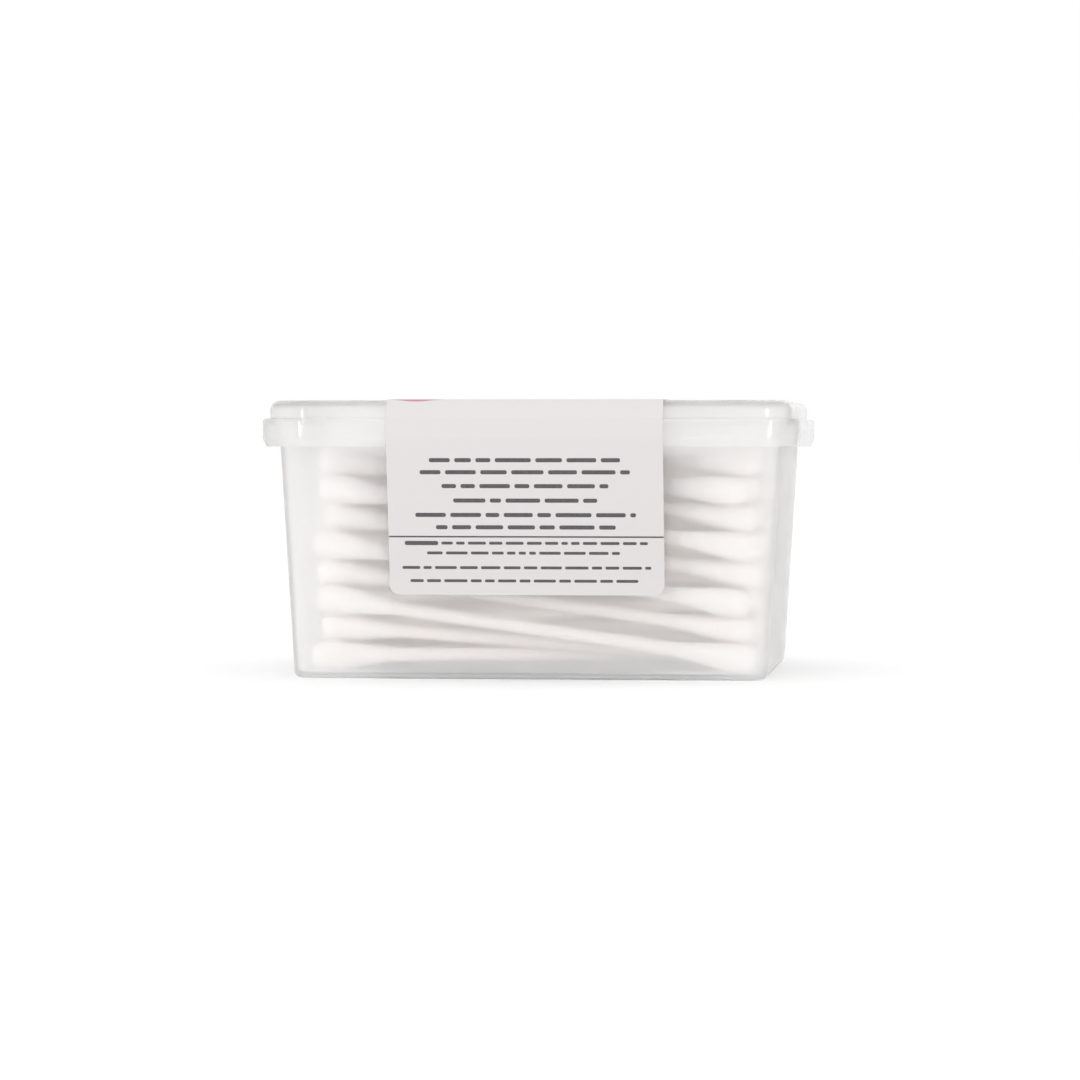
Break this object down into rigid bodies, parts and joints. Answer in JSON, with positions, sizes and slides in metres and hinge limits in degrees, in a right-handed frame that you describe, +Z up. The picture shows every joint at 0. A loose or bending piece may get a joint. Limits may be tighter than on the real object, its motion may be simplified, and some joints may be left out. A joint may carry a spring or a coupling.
{
  "type": "cotton swab tub",
  "caption": "Rectangular clear plastic tub of cotton swabs with a lift-off lid and a wrap-over film label.",
  "frame": {"origin": "middle of the tub's underside, on the surface that it stands on", "axes": "+Z up; X along the swabs and the tub's long side; the label hangs down the -Y side"},
  "size_m": [0.0904, 0.0743, 0.0467],
  "materials": {
    "clear_plastic": "clear, slightly hazy moulded polypropylene",
    "label_film": "white printed film, satin",
    "stick_paper": "rolled white paper, matt",
    "cotton": "wound cotton, soft and matt"
  },
  "bodies": {
    "tub": {"tub": "clear_plastic", "swab_sticks_row_1": "stick_paper", "swab_sticks_row_2": "stick_paper", "swab_sticks_row_3": "stick_paper", "swab_sticks_row_4": "stick_paper", "swab_sticks_row_5": "stick_paper", "swab_sticks_row_6": "stick_paper", "swab_sticks_row_7": "stick_paper", "swab_sticks_row_8": "stick_paper", "cotton_tips_row_1": "cotton", "cotton_tips_row_2": "cotton", "cotton_tips_row_3": "cotton", "cotton_tips_row_4": "cotton", "cotton_tips_row_5": "cotton", "cotton_tips_row_6": "cotton", "cotton_tips_row_7": "cotton", "cotton_tips_row_8": "cotton"},
    "lid": {"lid": "clear_plastic", "label": "label_film"}
  },
  "joints": [
    {"name": "lid_lift", "type": "slide", "parent": "tub", "child": "lid", "axis": [0, 0, 1], "range_m": [0, 0.05], "deforming": ["label"]}
  ]
}
